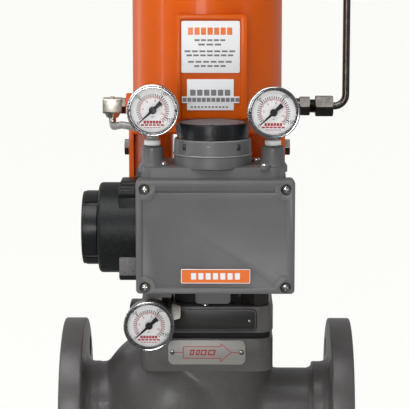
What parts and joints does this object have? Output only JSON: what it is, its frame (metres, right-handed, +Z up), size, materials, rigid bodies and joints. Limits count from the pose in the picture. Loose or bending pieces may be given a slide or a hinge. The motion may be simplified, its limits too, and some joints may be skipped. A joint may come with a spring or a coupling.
{
  "type": "pneumatic cylinder actuator on a globe control valve",
  "caption": "Spring-return pneumatic cylinder actuator with cast yoke, feedback positioner, air gauges and tubing, mounted on a flanged globe control valve.",
  "frame": {"origin": "where the pipe axis meets the stem axis, midway between the two pipe flange faces", "axes": "+X along the pipe in the direction of flow, -Y the front with the positioner cover, +Z up along the stem"},
  "size_m": [0.254, 0.2171, 0.5482],
  "materials": {
    "gray_paint": "semi-gloss gray enamel on castings",
    "orange_paint": "gloss orange enamel",
    "black_plastic": "satin black moulding",
    "steel": "bright machined steel",
    "dark_steel": "dark plated steel",
    "nickel": "nickel plate",
    "brass": "machined",
    "rubber": "moulded seal",
    "graphite": "pressed graphite",
    "white_plastic": "white plastic",
    "orange_label": "printed label",
    "dark_plate": "dark brushed plate"
  },
  "bodies": {
    "valve": {"bonnet": "gray_paint", "bonnet_gasket": "graphite", "bonnet_stud_1": "dark_steel", "bonnet_stud_2": "dark_steel", "bonnet_stud_3": "dark_steel", "bonnet_stud_4": "dark_steel", "caution_plate": "white_plastic", "cover_label": "orange_label", "cover_screw_1": "steel", "cover_screw_2": "steel", "cover_screw_3": "steel", "cover_screw_4": "steel", "cylinder": "orange_paint", "cylinder_cap": "dark_steel", "flow_plate": "steel", "gauge_adapter_left": "white_plastic", "gauge_adapter_right": "white_plastic", "gauge_left_case": "steel", "gauge_right_case": "steel", "gauge_supply_case": "steel", "gland_flange": "dark_steel", "left_elbow": "nickel", "left_tube": "steel", "lifting_eye": "dark_steel", "packing_rings": "graphite", "pilot_relay": "dark_steel", "positioner_body": "gray_paint", "positioner_bracket": "gray_paint", "positioner_cover": "gray_paint", "rating_plate": "dark_plate", "retaining_ring": "steel", "right_connector": "dark_steel", "right_tube": "dark_steel", "rod_bushing": "brass", "seat_ring": "steel", "side_bolt_left": "steel", "side_bolt_right": "steel", "spring": "dark_steel", "spring_plate": "dark_steel", "supply_manifold": "black_plastic", "supply_nipple": "nickel", "supply_plug": "nickel", "top_connector": "dark_steel", "transducer_housing": "black_plastic", "valve_body": "gray_paint", "yoke": "orange_paint", "yoke_nut": "dark_steel"},
    "stem": {"valve_plug": "steel", "stem_clamp": "steel", "piston_rod": "steel", "piston": "steel", "piston_seal": "rubber"},
    "feedback": {"feedback_shaft": "steel", "follower_arm": "steel"},
    "left_needle": {"gauge_left_needle": "black_plastic"},
    "right_needle": {"gauge_right_needle": "black_plastic"},
    "supply_needle": {"gauge_supply_needle": "black_plastic"},
    "lid": {"transducer_lid": "black_plastic"},
    "turret": {"turret_cap": "black_plastic"},
    "adjuster": {"adjusting_screw": "steel"}
  },
  "joints": [
    {"name": "stem_lift", "type": "slide", "parent": "valve", "child": "stem", "axis": [0, 0, 1], "range_m": [0, 0.038], "stiffness_N_per_m": 20000, "deforming": ["spring"]},
    {"name": "follower_swing", "type": "hinge", "parent": "valve", "child": "feedback", "pos_m": [0.04, -0.051, 0.194], "axis": [0, 1, 0], "range_deg": [0, 50.9]},
    {"name": "left_needle_turn", "type": "hinge", "parent": "valve", "child": "left_needle", "pos_m": [-0.042, -0.128, 0.2725], "axis": [0, 1, 0], "range_deg": [0, 270]},
    {"name": "right_needle_turn", "type": "hinge", "parent": "valve", "child": "right_needle", "pos_m": [0.0539, -0.128, 0.2707], "axis": [0, 1, 0], "range_deg": [0, 270]},
    {"name": "supply_needle_turn", "type": "hinge", "parent": "valve", "child": "supply_needle", "pos_m": [-0.0465, -0.11, 0.094], "axis": [0, 1, 0], "range_deg": [0, 270]},
    {"name": "lid_turn", "type": "hinge", "parent": "valve", "child": "lid", "pos_m": [-0.1004, -0.09, 0.173], "axis": [-1, 0, 0], "range_deg": [0, 360]},
    {"name": "turret_cap_turn", "type": "hinge", "parent": "valve", "child": "turret", "pos_m": [0.0054, -0.0982, 0.2548], "axis": [0, 0, 1], "range_deg": [0, 90]},
    {"name": "adjusting_screw_turn", "type": "hinge", "parent": "valve", "child": "adjuster", "pos_m": [0, 0, 0.45], "axis": [0, 0, 1], "range_deg": [-180, 180]}
  ],
  "couplings": [
    {"joint": "follower_swing", "follows": "stem_lift", "rad_per_m": 23.332}
  ]
}
